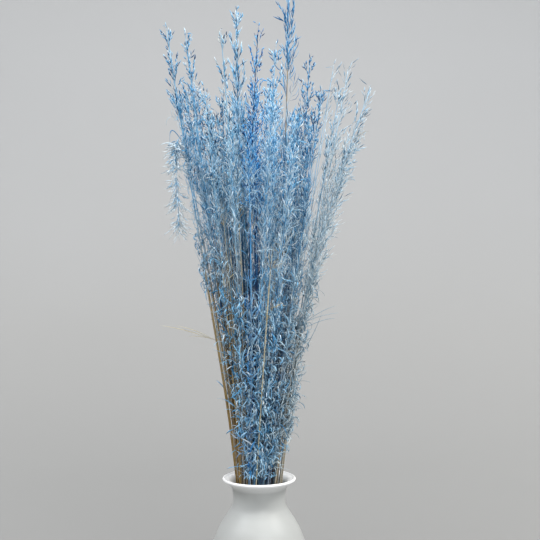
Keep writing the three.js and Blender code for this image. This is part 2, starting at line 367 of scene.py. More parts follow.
def sweep(pile, lines, halfWidth, halfThick, side, sides, tone, dye):
    # lines: strand, station, xyz. The first and last stations are points, those between are rings
    count, stations = lines.shape[:2]
    along = unit(np.gradient(lines, axis=1))
    side = across(np.broadcast_to(side, lines.shape), along)
    back = np.cross(along, side)
    angles = 2 * np.pi * np.arange(sides) / sides
    wide = halfWidth[:, 1:-1, None, None] * np.cos(angles)[:, None]
    thick = halfThick[:, 1:-1, None, None] * np.sin(angles)[:, None]
    rings = lines[:, 1:-1, None] + wide * side[:, 1:-1, None] + thick * back[:, 1:-1, None]
    points = np.concatenate([lines[:, :1], rings.reshape(count, -1, 3), lines[:, -1:]], axis=1)
    size = points.shape[1]
    ringShare = np.repeat(np.linspace(0, 1, stations)[1:-1], sides)
    share = np.concatenate([[0], ringShare, [1]])
    offset = pile["count"] + size * np.arange(count)[:, None, None]
    pile["points"].append(points.reshape(-1, 3))
    pile["faces"].append((tubeFaces(stations - 2, sides)[None] + offset).reshape(-1, 3))
    pile["tone"].append(spread(tone, share, size).ravel())
    pile["dye"].append(spread(dye, share, size).ravel())
    pile["count"] += size * count


def curvePoints(curves, share):
    # Points on quadratic curves, each given by its start, middle handle and end
    start, middle, end = curves
    share = np.asarray(share)[..., None]
    return (1 - share) ** 2 * start + 2 * share * (1 - share) * middle + share ** 2 * end


def curveWay(curves, share):
    start, middle, end = curves
    share = np.asarray(share)[..., None]
    return unit(2 * (1 - share) * (middle - start) + 2 * share * (end - middle))


def curveLines(curves, stations):
    each = [part[:, None] for part in curves]
    return curvePoints(each, np.linspace(0, 1, stations)[None])


def bladeTaper(stations, start, power):
    # How wide a blade is along its length: full in the middle and pointed at its end
    return np.sin(np.pi * np.linspace(start, 1, stations)) ** power


def makePiece(name, pile, material, node):
    mesh = bpy.data.meshes.new(name)
    points = np.concatenate(pile["points"])
    faces = np.concatenate(pile["faces"])
    mesh.vertices.add(len(points))
    mesh.vertices.foreach_set("co", points.ravel())
    mesh.loops.add(faces.size)
    mesh.loops.foreach_set("vertex_index", faces.ravel())
    mesh.polygons.add(len(faces))
    mesh.polygons.foreach_set("loop_start", np.arange(0, faces.size, 3))
    mesh.update(calc_edges=True)
    mesh.shade_smooth()
    for key in ("tone", "dye"):
        if key in pile:
            attribute = mesh.attributes.new(key, "FLOAT", "POINT")
            attribute.data.foreach_set("value", np.concatenate(pile[key]).astype(np.float32))
    mesh.materials.append(material)
    piece = addObject(name, mesh)
    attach(piece, "root")
    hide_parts(node)
    return len(faces)


# Vase

vaseForm = {
    "turns": 108,
    "step": 2.0 * mm,
}


def vaseProfile():
    # The solid's own profile: the corners on its +X side, walked from foot to floor
    points, faces = readNode("vase")
    onSide = {k for k, (x, y) in enumerate(points[:, :2]) if abs(y) < tolerance and x > -tolerance}
    around = neighboursOf(faces)
    walk = [min(onSide, key=lambda k: (points[k][2], points[k][0]))]
    while ahead := [k for k in around[walk[-1]] if k in onSide and k not in walk]:
        walk.append(min(ahead, key=lambda k: np.linalg.norm(points[k] - points[walk[-1]])))
    return points[walk][:, [0, 2]]


def smoothProfile(profile, step):
    # Rounds the profile between its corners, but keeps the edge of the flat foot
    gaps = np.linalg.norm(np.diff(profile, axis=0), axis=1)
    reach = np.concatenate([[0], np.cumsum(gaps)])
    places = [reach[0]]
    for low, high in zip(reach[:-1], reach[1:]):
        places.extend(np.linspace(low, high, max(2, math.ceil((high - low) / step)) + 1)[1:])
    return smoothThrough(reach, profile, np.array(places))


def makeVase():
    profile = vaseProfile()
    curve = smoothProfile(profile[1:-1], vaseForm["step"])
    turns = vaseForm["turns"]
    ways = levelWay(2 * np.pi * np.arange(turns) / turns)
    rings = curve[:, None, :1] * ways + curve[:, None, 1:] * up
    low, high = profile[[0, -1], 1:] * up
    pile = {"points": [[low], rings.reshape(-1, 3), [high]], "faces": [tubeFaces(len(curve), turns)]}
    return makePiece("ceramic_vase", pile, matteCeramic(), "vase")


triangles = makeVase()
print("vase made,", triangles, "triangles")


# Grass

# Where the bunch changes, and how far its strands may reach
bunch = {
    "stripsFrom": 214 * mm,  # just above the lip
    "shredsBelow": 390 * mm,
    "crowdedAbove": 380 * mm,  # between these two heights each plant keeps to its own side
    "freeAbove": 590 * mm,
    "sideRoom": 3 * mm,
    "freeReach": 60 * mm,
    "headMargin": 6 * mm,  # how far branches stay inside the box of the solids
    "tipRoom": 4 * mm,  # how far spikelets may pass it
}
# Windows into the bunch, where little grows: right of the axis, height, half their sizes, and how
# far back they reach
clearings = np.array([
    (-12, 445, 13, 50, 6),
    (-33, 462, 6, 24, 6),
    (20, 330, 6, 18, 6),
    (-86, 573, 8, 11, 100),
    (-61, 566, 4, 11, 100),
    (-57, 544, 3, 9, 100),
    (69, 577, 7, 18, 100),
    (62, 555, 7, 18, 100),
    (55, 525, 7, 20, 100),
]) * mm
clearedShare = 0.95


def between(limits, count):
    return random.uniform(limits[0], limits[1], count)


def rise(value, start, length):
    # From 0 to 1 over a length that begins at the start
    return np.clip((value - start) / length, 0, 1)


def turned(first, second, angle):
    # The first way, turned by an angle towards the second
    return first * np.cos(angle)[..., None] + second * np.sin(angle)[..., None]


def inClearing(places):
    # Most of the places that lie in a window into the bunch
    inside = np.zeros(len(places), bool)
    for right, high, wide, tall, back in clearings:
        near = ((places[:, 0] - right) / wide) ** 2 + ((places[:, 2] - high) / tall) ** 2 < 1
        inside |= near & (places[:, 1] < back)
    return inside & (random.random(len(places)) < clearedShare)


def staysAside(start, reached, plant):
    # Whether each strand keeps out of the gap beside its plant
    crowded = (start[:, 2] > bunch["crowdedAbove"]) & (start[:, 2] < bunch["freeAbove"])
    aside = reached - start[:, 0]
    tooFarLeft = aside < -plant["leftReach"] - bunch["sideRoom"]
    tooFarRight = aside > plant["rightReach"] + bunch["sideRoom"]
    return ~((tooFarLeft | tooFarRight) & crowded)


def keepInBox(places, room):
    # Holds places, sideways, to the box of the solids with this much room around it
    places[:, :2] = places[:, :2].clip(boxLow[:2] - room, boxHigh[:2] + room)


culm = {
    "footRadius": 0.85 * mm,
    "tipRadius": 0.3 * mm,
    "sides": 6,
    "step": 9 * mm,
    "fewestStations": 12,
    "knotGap": 105 * mm,
    "knotSharpness": 24,
    "knot": 0.3,  # how much thicker a knot is
    "knotTone": -0.2,
    "tipTone": 0.25,  # how much paler the tip is than the foot
}


def culmStrand(pile, plant):
    foot, tip = plant["centres"][0][2], plant["top"]
    heights = np.linspace(foot, tip, max(culm["fewestStations"], int((tip - foot) / culm["step"])))
    lines = culmAt(plant, heights)[None]
    share = (heights - foot) / (tip - foot)
    radius = culm["footRadius"] + (culm["tipRadius"] - culm["footRadius"]) * share
    knots = np.cos(2 * np.pi * (heights / culm["knotGap"] + random.random())).clip(0, 1)
    knots = knots ** culm["knotSharpness"]
    radius = (plant["stemSize"] * radius * (1 + culm["knot"] * knots))[None]
    tones = (plant["stemTone"] + culm["tipTone"] * share + culm["knotTone"] * knots)[None]
    dye = np.interp(heights, plant["dyeHeights"], plant["dyeLevels"])[None]
    sweep(pile, lines, radius, radius, np.array([1.0, 0, 0]), culm["sides"], tones, dye)


sideStem = {
    "radius": (0.34 * mm, 0.6 * mm),
    "taper": 0.5,
    "near": (0.9 * mm, 3.0 * mm),  # how far from the main stem, in the vase and then above it
    "far": (2.0 * mm, 6.0 * mm),
    "farLoose": (2.0 * mm, 12.0 * mm),
    "leavesAt": 205 * mm,
    "leavesOver": 130 * mm,
    "top": (330 * mm, 540 * mm),
    "belowTip": 20 * mm,
    "inwardFrom": 28 * mm,  # off the axis by this much, one leans inwards more than at random
    "inwardStation": 6,
    "stations": 16,
    "sides": 4,
    "toneSpread": 0.2,
    "dyeSpread": 0.18,
}


def sideStems(pile, plant):
    # Thin bare stems that grew beside the main one
    count = plant["sideStems"]
    tops = np.minimum(between(sideStem["top"], count), plant["top"] - sideStem["belowTip"])
    foot = plant["centres"][0][2]
    share = np.linspace(0, 1, sideStem["stations"])
    heights = foot + share[None] * (tops[:, None] - foot)
    middle = culmAt(plant, heights.ravel()).reshape(count, -1, 3)
    inward = -middle[:, sideStem["inwardStation"]] * [1, 1, 0] / sideStem["inwardFrom"]
    away = unit(levelWay(between((0, 2 * np.pi), count)) + inward)
    near = between(sideStem["near"], count)[:, None]
    far = between(plant["stemFar"], count)[:, None]
    leaving = rise(heights, sideStem["leavesAt"], sideStem["leavesOver"])
    reach = near + (far - near).clip(0) * leaving
    lines = middle + away[:, None] * reach[..., None]
    aside = (lines[..., 0] - middle[..., 0]).clip(-plant["leftReach"], plant["rightReach"])
    lines[..., 0] = middle[..., 0] + aside
    radius = between(sideStem["radius"], count)[:, None] * (1 - sideStem["taper"] * share)
    tones = plant["stemTone"] + random.normal(0, sideStem["toneSpread"], count)
    dye = np.interp(heights, plant["dyeHeights"], plant["dyeLevels"])
    dye = (dye + random.normal(0, sideStem["dyeSpread"], (count, 1))).clip(0, 1)
    sweep(pile, lines, radius, radius, np.array([0.0, 1, 0]), sideStem["sides"], tones, dye)


# How the head changes from the tip down: how far below the tip, then what holds there
head = {
    "below": np.array([0, 30, 70, 130, 220, 330]) * mm,
    "branchGap": np.array([4.8, 4.8, 4.0, 3.0, 3.0, 4.2]) * mm,
    "branch": np.array([5, 8, 15, 24, 26, 22]) * mm,
    "spikelet": np.array([5.2, 5.4, 6.6, 9.5, 12.5, 13.5]) * mm,
    "halfWidth": np.array([0.85, 0.85, 0.7, 0.52, 0.46, 0.44]) * mm,
    "splay": np.array([0.38, 0.42, 0.48, 0.54, 0.56, 0.56]),
    "bow": np.array([0.1, 0.1, 0.14, 0.24, 0.3, 0.3]),
    "gap": np.array([2.2, 2.2, 2.3, 2.7, 3.4, 4.4]) * mm,
    # Painted shade and light: spikelets are painted darker near the tip, where the top lamps fall, and
    # paler lower down, where the bunch above shades them
    "tone": np.array([0.36, 0.38, 0.45, 0.53, 0.62, 0.68]),
}
# Angles are in radians from the way that the stem grows
branch = {
    "radius": 0.26 * mm,
    "taper": np.array([1.0, 1.0, 0.85, 0.6]),
    "side": np.array([0.3, 1, 0.1]),
    "size": (0.6, 1.25),
    "lastBelowTip": 3 * mm,
    "heightSpread": 0.8 * mm,
    "turnSpread": 0.3,
    "splay": (0.12, 0.42),
    "curl": (-0.25, 0.35),
    "waywardSplay": 0.35,
    "waywardCurl": 0.5,
    "reachShare": 0.9,  # of the way to the tip, and a little more
    "reachMore": 5 * mm,
    "driftBelow": 240 * mm,
    "solidBow": 0.06,
    "mostLean": 0.9,  # the solid's shoots that lean out more are shreds
    "tone": 0.5,
    "toneSpread": 0.18,
    "dyeLoss": 0.15,
    "dyeSpread": 0.12,
}


def headAt(key, below):
    return np.interp(below, head["below"], head[key])


def partsOf(shoots, key):
    return np.array([shoot[key] for shoot in shoots]).reshape(-1, 3)


def shootCurves(shoots):
    # The solid's own shoots, as lightly bowed curves
    start, end = partsOf(shoots, "root"), partsOf(shoots, "tip")
    length = np.linalg.norm(end - start, axis=1, keepdims=True)
    middle = 0.5 * (start + end) + random.normal(0, branch["solidBow"], (len(start), 3)) * length
    return start, middle, end


def sortShoots(plant):
    # Long ones are leaves, low wide ones are shreds, and the others are side branches
    leaves, shreds, branches = [], [], []
    for shoot in plant["shoots"]:
        reach = shoot["tip"] - shoot["root"]
        length = np.linalg.norm(reach)
        leaning = math.acos(reach[2] / length)
        if length > leafBlade["longerThan"]:
            leaves.append(shoot)
        elif shoot["root"][2] < bunch["shredsBelow"] or leaning > branch["mostLean"]:
            shreds.append(shoot)
        else:
            branches.append(shoot)
    return leaves, shreds, branches


def extraBranches(plant):
    # Side branches between the solid's whorls, a turn of the golden angle apart
    tip = plant["top"]
    heights = [plant["headFoot"]]
    while heights[-1] < tip - branch["lastBelowTip"]:
        heights.append(heights[-1] + headAt("branchGap", tip - heights[-1]) * plant["branchGap"])
    count = len(heights)
    heights = heights + random.normal(0, branch["heightSpread"], count)
    below = tip - heights
    bare = (below > plant["bare"][0]) & (below < plant["bare"][1])
    start = culmAt(plant, heights)
    along = unit(culmAt(plant, heights + 2 * mm) - start)
    turn = plant["turn"] + np.arange(count) * np.pi * (3 - np.sqrt(5))
    outward = across(levelWay(turn + random.normal(0, branch["turnSpread"], count)), along)
    length = headAt("branch", below) * plant["branchSize"] * between(branch["size"], count)
    length = np.minimum(length, branch["reachShare"] * (below + branch["reachMore"]))
    wayward = random.random(count) < plant["wayward"]
    splay = between(branch["splay"], count) * plant["branchSplay"] + branch["waywardSplay"] * wayward
    curl = between(branch["curl"], count)
    curl = curl + branch["waywardCurl"] * wayward * random.normal(0, 1, count)
    middle = start + 0.5 * length[:, None] * turned(along, outward, splay)
    drift = length * (1 - below / branch["driftBelow"]).clip(0)
    end = start + length[:, None] * turned(along, outward, splay + curl) + drift[:, None] * plant["drift"]
    # Below the free tips a branch keeps to its own side of the gaps between plants
    crowded = start[:, 2] < bunch["freeAbove"]
    left = np.where(crowded, plant["leftReach"], bunch["freeReach"])
    right = np.where(crowded, plant["rightReach"], bunch["freeReach"])
    end[:, 0] = start[:, 0] + (end[:, 0] - start[:, 0]).clip(-left, right)
    keepInBox(end, -bunch["headMargin"])
    kept = ~bare & ~inClearing(start)
    return start[kept], middle[kept], end[kept]


def keepToSide(curves, plant):
    # The branches that carry spikelets: the others cross a gap, or are bare twigs
    start, middle, end = curves
    kept = staysAside(start, end[:, 0], plant) & (start[:, 2] > plant["twigsBelow"]) & ~inClearing(start)
    return start[kept], middle[kept], end[kept]


def branchStrands(pile, curves, plant):
    lines = curveLines(curves, len(branch["taper"]))
    count = len(lines)
    radius = branch["radius"] * np.ones((count, 1)) * branch["taper"]
    tones = random.normal(branch["tone"], branch["toneSpread"], count)
    dye = random.normal(plant["headDye"] - branch["dyeLoss"], branch["dyeSpread"], count).clip(0, 1)
    sweep(pile, lines, radius, radius, branch["side"], 3, tones, dye)


spikelet = {
    "outline": np.array([0, 1.0, 0.78, 0]),
    "thickness": 0.55,  # of its width
    "facing": np.array([0.35, 0.9, 0.2]),
    "carried": 0.8,  # share of a branch that carries them
    "placeSpread": 0.02,
    "rollSpread": 0.7,
    "rollStep": 1.3,
    "splay": (0.5, 1.5),
    "lastSplay": 0.3,
    "size": (0.7, 1.3),
    "width": (0.75, 1.2),
    "leastBow": 0.08,
    "toneSpread": 0.3,
    "toneAlong": np.array([-0.16, 0.0, 0.14]),  # from its root to its tip
    "fade": 0.16,
    "fadeOver": 200 * mm,
    "dyeSpread": 0.12,
}
# Some heads end in fewer, longer and darker spikelets: by how much at the very tip
longTips = {
    "over": 90 * mm,
    "gap": 2.5,
    "size": 1.2,
    "width": -0.3,
    "tone": 0.35,
}


def spikelets(pile, curves, plant):
    # Alternate spikelets along each branch, set in a V, and one at its end
    start, middle, end = curves
    if len(start) == 0:
        return
    length = np.linalg.norm(end - start, axis=1)
    tip = plant["top"]
    sparse = plant["longTips"] * (1 - (tip - start[:, 2]) / longTips["over"]).clip(0, 1)
    gap = headAt("gap", tip - start[:, 2]) * plant["spikeletGap"] * (1 + longTips["gap"] * sparse)
    each = np.maximum(1, (spikelet["carried"] * length / gap).astype(int))
    owner = np.repeat(np.arange(len(length)), each)
    count = len(owner)
    order = np.concatenate([np.arange(k) for k in each])
    last = order == each[owner] - 1
    share = 1 - (each[owner] - 1 - order) * gap[owner] / length[owner]
    share = (share + random.normal(0, spikelet["placeSpread"], count) * ~last).clip(0.05, 1)
    own = (start[owner], middle[owner], end[owner])
    root = curvePoints(own, share)
    way = curveWay(own, share)
    below = tip - root[:, 2]
    roll = order * np.pi + random.normal(0, spikelet["rollSpread"], count) + owner * spikelet["rollStep"]
    base = across(spikelet["facing"] + 0 * way, way)
    side = turned(base, np.cross(way, base), roll)
    splay = headAt("splay", below) * between(spikelet["splay"], count)
    splay = splay * np.where(last, spikelet["lastSplay"], 1) * plant["spikeletSplay"]
    size = headAt("spikelet", below) * between(spikelet["size"], count) * plant["spikeletSize"]
    size = size * (1 + longTips["size"] * sparse[owner])
    ahead = turned(way, side, splay)
    tips = root + ahead * size[:, None]
    keepInBox(tips, bunch["tipRoom"])
    bow = (spikelet["leastBow"] + headAt("bow", below) * random.normal(0, 1, count)) * size
    belly = 0.5 * (root + tips) + across(side, ahead) * bow[:, None]
    lines = curveLines((root, belly, tips), len(spikelet["outline"]))
    wide = headAt("halfWidth", below) * between(spikelet["width"], count) * plant["spikeletWidth"]
    wide = wide * (1 + longTips["width"] * sparse[owner])
    halfWidth = wide[:, None] * spikelet["outline"]
    # The head's tone row adds painted shade near the tip and painted light lower down
    tones = headAt("tone", below) + plant["tone"] - longTips["tone"] * sparse[owner]
    tones = random.normal(tones, spikelet["toneSpread"])[:, None] + spikelet["toneAlong"]
    faded = spikelet["fade"] * (below / spikelet["fadeOver"]).clip(0, 1)
    dye = (random.normal(plant["headDye"], spikelet["dyeSpread"], count) - faded).clip(0, 1)
    facing = np.cross(ahead, side)[:, None]
    sweep(pile, lines, halfWidth, spikelet["thickness"] * halfWidth, facing, 3, tones, dye)


# Shreds of dry leaf: wide strips low down, narrow wisps up to the heads, and thin curls among these
strips = {
    "perPlant": 290,
    "length": (9 * mm, 26 * mm),
    "halfWidth": (0.65 * mm, 1.2 * mm),
    "bottom": 0,
    "top": 430 * mm,
    "towardsFoot": 1.4,
    "tone": 0.52,
}
wisps = {
    "perPlant": 190,
    "length": (8 * mm, 19 * mm),
    "halfWidth": (0.4 * mm, 0.8 * mm),
    "bottom": 0,
    "top": 545 * mm,
    "towardsFoot": 1.15,
    "tone": 0.7,
}
curls = {
    "perPlant": 110,
    "length": (12 * mm, 26 * mm),
    "halfWidth": (0.35 * mm, 0.6 * mm),
    "bottom": 420 * mm,
    "top": 575 * mm,
    "towardsFoot": 1.0,
    "tone": 0.8,
}
ribbon = {
    "halfThick": 0.16 * mm,
    "stations": 7,
    "sides": 3,
    "taper": (0.14, 0.5),
    "off": (0.5 * mm, 5 * mm),  # how far outside the culm one starts
    "belowTip": 40 * mm,
    "size": (0.6, 1.0),
    "placeSpread": 6 * mm,
    "turnSpread": 0.9,
    "heading": 0.6,
    "headingSpread": 0.6,
    "curlSpread": 2.8,
    "curlPower": 1.2,
    "leanSpread": 0.9,
    "rootTwist": 0.6,
    "endTwist": 1.0,
    "solidHeading": -0.25,  # the solid's own shreds start steeper and curl to their end
    "solidCurl": 0.6,
    "toneSpread": 0.22,
    "dyeSpread": 0.08,
}


def ribbons(pile, start, outward, length, heading, curl, form, plant):
    # Narrow flat shreds that leave their stem outward and curl as they dried
    count = len(start)
    stations = ribbon["stations"]
    sideways = np.cross(up, outward)
    share = np.linspace(0, 1, stations - 1)
    angle = heading[:, None] + curl[:, None] * share ** ribbon["curlPower"]
    lean = random.normal(0, ribbon["leanSpread"], (count, 1)) * share
    steps = unit(turned(up, outward[:, None], angle) + np.sin(lean)[..., None] * sideways[:, None])
    steps = steps * (length / (stations - 1))[:, None, None]
    lines = np.concatenate([start[:, None], start[:, None] + np.cumsum(steps, axis=1)], axis=1)
    # One that would leave the box of the solids, or cross a gap, is left out
    kept = np.all((lines > boxLow) & (lines < boxHigh), axis=(1, 2))
    kept = kept & staysAside(start, lines[..., 0].min(axis=1), plant)
    kept = kept & staysAside(start, lines[..., 0].max(axis=1), plant)
    start, lines, outward, sideways = start[kept], lines[kept], outward[kept], sideways[kept]
    count = len(start)
    if count == 0:
        return
    taper = bladeTaper(stations, *ribbon["taper"])
    halfWidth = between(form["halfWidth"], count)[:, None] * taper
    halfThick = ribbon["halfThick"] * taper * np.ones((count, 1))
    # None hangs down through the lip
    lowest = np.minimum(start[:, None, 2], bunch["stripsFrom"] - 1 * mm)
    lines[..., 2] = np.maximum(lines[..., 2], lowest)
    twist = random.normal(0, ribbon["rootTwist"], (count, 1))
    twist = twist + random.normal(0, ribbon["endTwist"], (count, 1)) * np.linspace(0, 1, stations)
    side = turned(sideways[:, None], outward[:, None], twist)
    tones = random.normal(form["tone"] + plant["stripTone"], ribbon["toneSpread"], count)
    dye = random.normal(plant["stripDye"], ribbon["dyeSpread"], count).clip(0, 1)
    sweep(pile, lines, halfWidth, halfThick, side, ribbon["sides"], tones, dye)


def curledStrips(pile, plant, form):
    # Shreds all over the lower stems, on the side that faces out of the bunch
    count = int(form["perPlant"] * plant["strips"])
    low = max(form["bottom"], plant["stripLow"])
    top = min(form["top"] + plant["stripRise"], plant["top"] - ribbon["belowTip"])
    heights = low + (top - low) * random.random(count) ** form["towardsFoot"]
    start = culmAt(plant, heights)
    start = start[~inClearing(start)]
    count = len(start)
    radial = across(start + random.normal(0, ribbon["placeSpread"], (count, 3)), up)
    outward = turned(radial, np.cross(up, radial), random.normal(0, ribbon["turnSpread"], count))
    start = start + outward * between(ribbon["off"], count)[:, None]
    length = between(form["length"], count) * between(ribbon["size"], count)
    heading = random.normal(ribbon["heading"], ribbon["headingSpread"], count)
    curl = random.normal(0.0, ribbon["curlSpread"], count)
    ribbons(pile, start, outward, length, heading, curl, form, plant)


def solidShreds(pile, shoots, plant):
    # The solid's own low shoots, as shreds of the same reach
    start = partsOf(shoots, "root")
    reach = partsOf(shoots, "tip") - start
    length = np.linalg.norm(reach, axis=1)
    outward = across(reach, up)
    heading = np.arccos(reach[:, 2] / length)
    curl = 0 * heading + ribbon["solidCurl"]
    form = wisps if plant["slot"] == "straw_undyed" else strips
    ribbons(pile, start, outward, length, heading + ribbon["solidHeading"], curl, form, plant)


def oneBlade(pile, curve, form, halfWidth, halfThick, tone):
    lines = curveLines([part[None] for part in curve], form["stations"])
    taper = bladeTaper(form["stations"], *form["taper"])[None]
    sweep(pile, lines, halfWidth * taper, halfThick * taper, form["side"], 4, [tone], [form["dye"]])


leafBlade = {
    "longerThan": 50 * mm,
    "halfWidth": 0.8 * mm,
    "halfThick": 0.15 * mm,
    "blades": ((0.0, 1.0), (0.1, 0.72), (-0.12, 0.5)),  # how far each is turned up, and its size
    "bow": 0.07,
    "stations": 12,
    "taper": (0.06, 0.6),
    "side": np.array([0, 1.0, 0.4]),
    "tone": 0.95,
    "dye": 0.25,
}


def leafBlades(pile, shoots):
    # One dry leaf that stands far out, split into three thin pale blades
    for shoot in shoots:
        root = shoot["root"]
        reach = shoot["tip"] - root
        length = np.linalg.norm(reach)
        for turn, size in leafBlade["blades"]:
            end = root + size * (reach + turn * length * up)
            middle = 0.5 * (root + end) + leafBlade["bow"] * length * up
            halfWidth = leafBlade["halfWidth"] * (0.5 + 0.5 * size)
            curve = (root, middle, end)
            oneBlade(pile, curve, leafBlade, halfWidth, leafBlade["halfThick"], leafBlade["tone"])


# Strands that hang or stand clear of the bunch. Each starts on the plant nearest to its root.
# Places are how far right of the axis, how far forward and how high, in millimetres.
drooping = {
    "root": (-70, 30, 572),
    "over": (-92, 34, 592),
    "down": (-83, 40, 478),
    "stations": 24,
    "thinning": (1.2, 0.6),
    "stalkTone": 0.6,
    "branches": 150,
    "branch": (5 * mm, 14 * mm),
    "splay": (0.2, 1.1),
    "clusters": np.linspace(0.3, 0.97, 6),  # how far along the stalk
    "clusterSpread": 0.035,
    "habit": {"tone": 0.5, "spikeletWidth": 1.3, "spikeletSize": 0.75, "spikeletGap": 0.8},
}
# Single stray shreds: root, what each bends over, end, half its width and its tone
hooks = [
    ((-72, 28, 566), (-98, 36, 602), (-92, 38, 558), 0.6, 0.25),
    ((-74, 26, 560), (-92, 34, 574), (-104, 38, 566), 0.8, 0.8),
    ((-74, 26, 556), (-90, 34, 566), (-101, 36, 553), 0.8, 0.75),
    ((-72, 24, 552), (-84, 30, 560), (-96, 34, 546), 0.8, 0.7),
    ((-72, 26, 545), (-82, 32, 550), (-93, 36, 530), 0.7, 0.75),
    ((48, 12, 372), (62, 20, 392), (84, 24, 398), 0.3, 0.3),
    ((50, 12, 376), (64, 20, 388), (86, 24, 390), 0.3, 0.4),
    ((49, 12, 368), (66, 18, 384), (82, 22, 384), 0.3, 0.3),
    ((44, 14, 330), (56, 18, 356), (68, 20, 392), 0.4, 0.2),
]
hookForm = {
    "stations": 14,
    "taper": (0.1, 0.6),
    "thickness": 0.4,  # of its width
    "side": np.array([0, 0.3, 1.0]),
    "dye": 0.8,
}


def placeOf(spot):
    return np.array(spot) * [mm, -mm, mm]


def startOn(plant, spot):
    # The place on a plant that is level with the spot, or its tip
    return culmAt(plant, np.array([min(spot[2], plant["top"])]))[0]


def nearestPlant(spot):
    return min(plants, key=lambda plant: np.linalg.norm(startOn(plant, spot) - spot))


def strayHooks(pile, plant):
    for root, over, end, halfWidth, tone in hooks:
        spot = placeOf(root)
        if nearestPlant(spot) is plant:
            curve = (startOn(plant, spot), placeOf(over), placeOf(end))
            halfThick = hookForm["thickness"] * halfWidth * mm
            oneBlade(pile, curve, hookForm, halfWidth * mm, halfThick, tone)


def droopingBranch(pile, plant):
    # One pale side branch that arches out and hangs, with its spikelets in loose clusters
    spot = placeOf(drooping["root"])
    if nearestPlant(spot) is not plant:
        return
    stalk = (startOn(plant, spot), placeOf(drooping["over"]), placeOf(drooping["down"]))
    lines = curveLines([part[None] for part in stalk], drooping["stations"])
    radius = branch["radius"] * np.linspace(*drooping["thinning"], drooping["stations"])[None]
    sweep(pile, lines, radius, radius, branch["side"], 4, [drooping["stalkTone"]], [1.0])
    count = drooping["branches"]
    share = random.choice(drooping["clusters"], count)
    share = (share + random.normal(0, drooping["clusterSpread"], count)).clip(0.2, 1)
    root = curvePoints(stalk, share)
    way = curveWay(stalk, share)
    side = levelWay(between((0, 2 * np.pi), count))
    splay = between(drooping["splay"], count)
    size = between(drooping["branch"], count)[:, None]
    end = root + size * turned(way, side, splay)
    curves = (root, root + 0.4 * size * way, end)
    pale = {**plant, **drooping["habit"]}
    branchStrands(pile, curves, pale)
    spikelets(pile, curves, pale)


# What three thin plants at the right share
slender = {
    "branchSize": 0.6, "branchGap": 4.0, "spikeletGap": 2.0, "spikeletWidth": 0.6, "headFoot": 0.54,
    "twigsBelow": 0.56, "leftReach": 2, "rightReach": 2, "strips": 0.1, "sideStems": 1,
}
# How single plants differ from the rest. Each entry is for the plant whose tip is nearest to its
# place, which is how far right of the axis and how high. That place, bare stretches and reaches
# are in millimetres.
habits = [
    {"tip": (-96, 687), "bare": (7, 26), "branchGap": 0.75, "leftReach": 1, "rightReach": 9,
     "spikeletSplay": 0.7, "headFoot": 0.52, "strips": 0.25, "twigsBelow": 0.5, "tone": -0.03},
    {"tip": (-93, 610), "leftReach": 1, "rightReach": 9, "spikeletSplay": 0.7, "headFoot": 0.51,
     "strips": 0.25, "twigsBelow": 0.5},
    {"tip": (-76, 680), "bare": (12, 20), "branchGap": 0.75, "leftReach": 4, "tone": -0.03},
    {"tip": (-84, 624), "leftReach": 4},
    {"tip": (-83, 606), "leftReach": 4},
    {"tip": (-36, 668), "bare": (18, 34), "branchSize": 0.7, "spikeletGap": 1.2},
    {"tip": (-24, 713), "bare": (36, 44), "branchGap": 0.7, "branchSize": 0.75, "headDye": 1.1,
     "spikeletSize": 1.3, "branchSplay": 0.6, "spikeletSplay": 0.7, "spikeletGap": 0.85},
    {"tip": (0, 685), "bare": (28, 44), "branchSize": 0.75, "spikeletSize": 0.9},
    {"tip": (18, 659), "branchSize": 0.8, "branchSplay": 0.7, "tone": -0.15},
    {"tip": (32, 742), "bare": (108, 172), "branchGap": 0.62, "branchSize": 0.8,
     "spikeletSize": 1.8, "branchSplay": 0.4, "spikeletSplay": 0.36, "spikeletGap": 1.1,
     "spikeletWidth": 0.9, "tone": -0.42, "dyeHeights": np.array([200, 400, 560, 585, 660, 672]) * mm,
     "dyeLevels": np.array([0.5, 0.6, 0.9, 0.0, 0.0, 1.0])},
    {"tip": (55, 664), "bare": (10, 20), "branchSize": 1.1, "branchGap": 0.85, "rightReach": 7},
    {"tip": (60, 613), "rightReach": 3, "branchGap": 0.85},
    {"tip": (65, 630), "rightReach": 3, "branchGap": 0.85},
    {**slender, "tip": (82, 660), "branchSize": 1.0, "branchGap": 2.6, "spikeletGap": 3.0, "longTips": 0.6},
    {**slender, "tip": (77, 618)},
    {**slender, "tip": (82, 593), "rightReach": 4, "strips": 0.2, "sideStems": 2},
    {"tip": (87, 631), "leftReach": 1, "rightReach": 3, "branchSize": 0.9, "branchGap": 1.8,
     "sideStems": 2, "strips": 0.2, "headFoot": 0.52, "twigsBelow": 0.52},
    {"tip": (99, 660), "branchSize": 1.4, "spikeletGap": 1.5, "longTips": 0.9,
     "spikeletWidth": 0.75, "leftReach": 1, "sideStems": 3, "strips": 0.45},
    {"tip": (118, 627), "bare": (6, 14), "branchSize": 1.4, "branchGap": 0.6, "longTips": 0.7,
     "spikeletWidth": 0.9, "leftReach": 6, "rightReach": 16, "strips": 0.5, "sideStems": 4},
]
# The habit of the other plants, mostly as shares of what the dictionaries above say
usual = {
    "bare": (0, 0),  # how far below the tip no branch grows
    "branchGap": 1.0,
    "branchSize": 1.0,
    "branchSplay": 1.0,
    "spikeletGap": 1.0,
    "spikeletSize": 1.0,
    "spikeletWidth": 1.0,
    "spikeletSplay": 1.0,
    "longTips": 0.0,
    "twigsBelow": 0.0,  # branches below this height carry nothing
    "leftReach": bunch["freeReach"],  # how far branches may go to each side
    "rightReach": bunch["freeReach"],
    "drift": np.zeros(3),  # which way branches lean, by shares of their length
    "wayward": 0.14,  # how many branches stand out
    "headDye": 1.05,
    "stripDye": 0.97,
    "stripTone": 0.0,
    "stemFar": sideStem["far"],
}
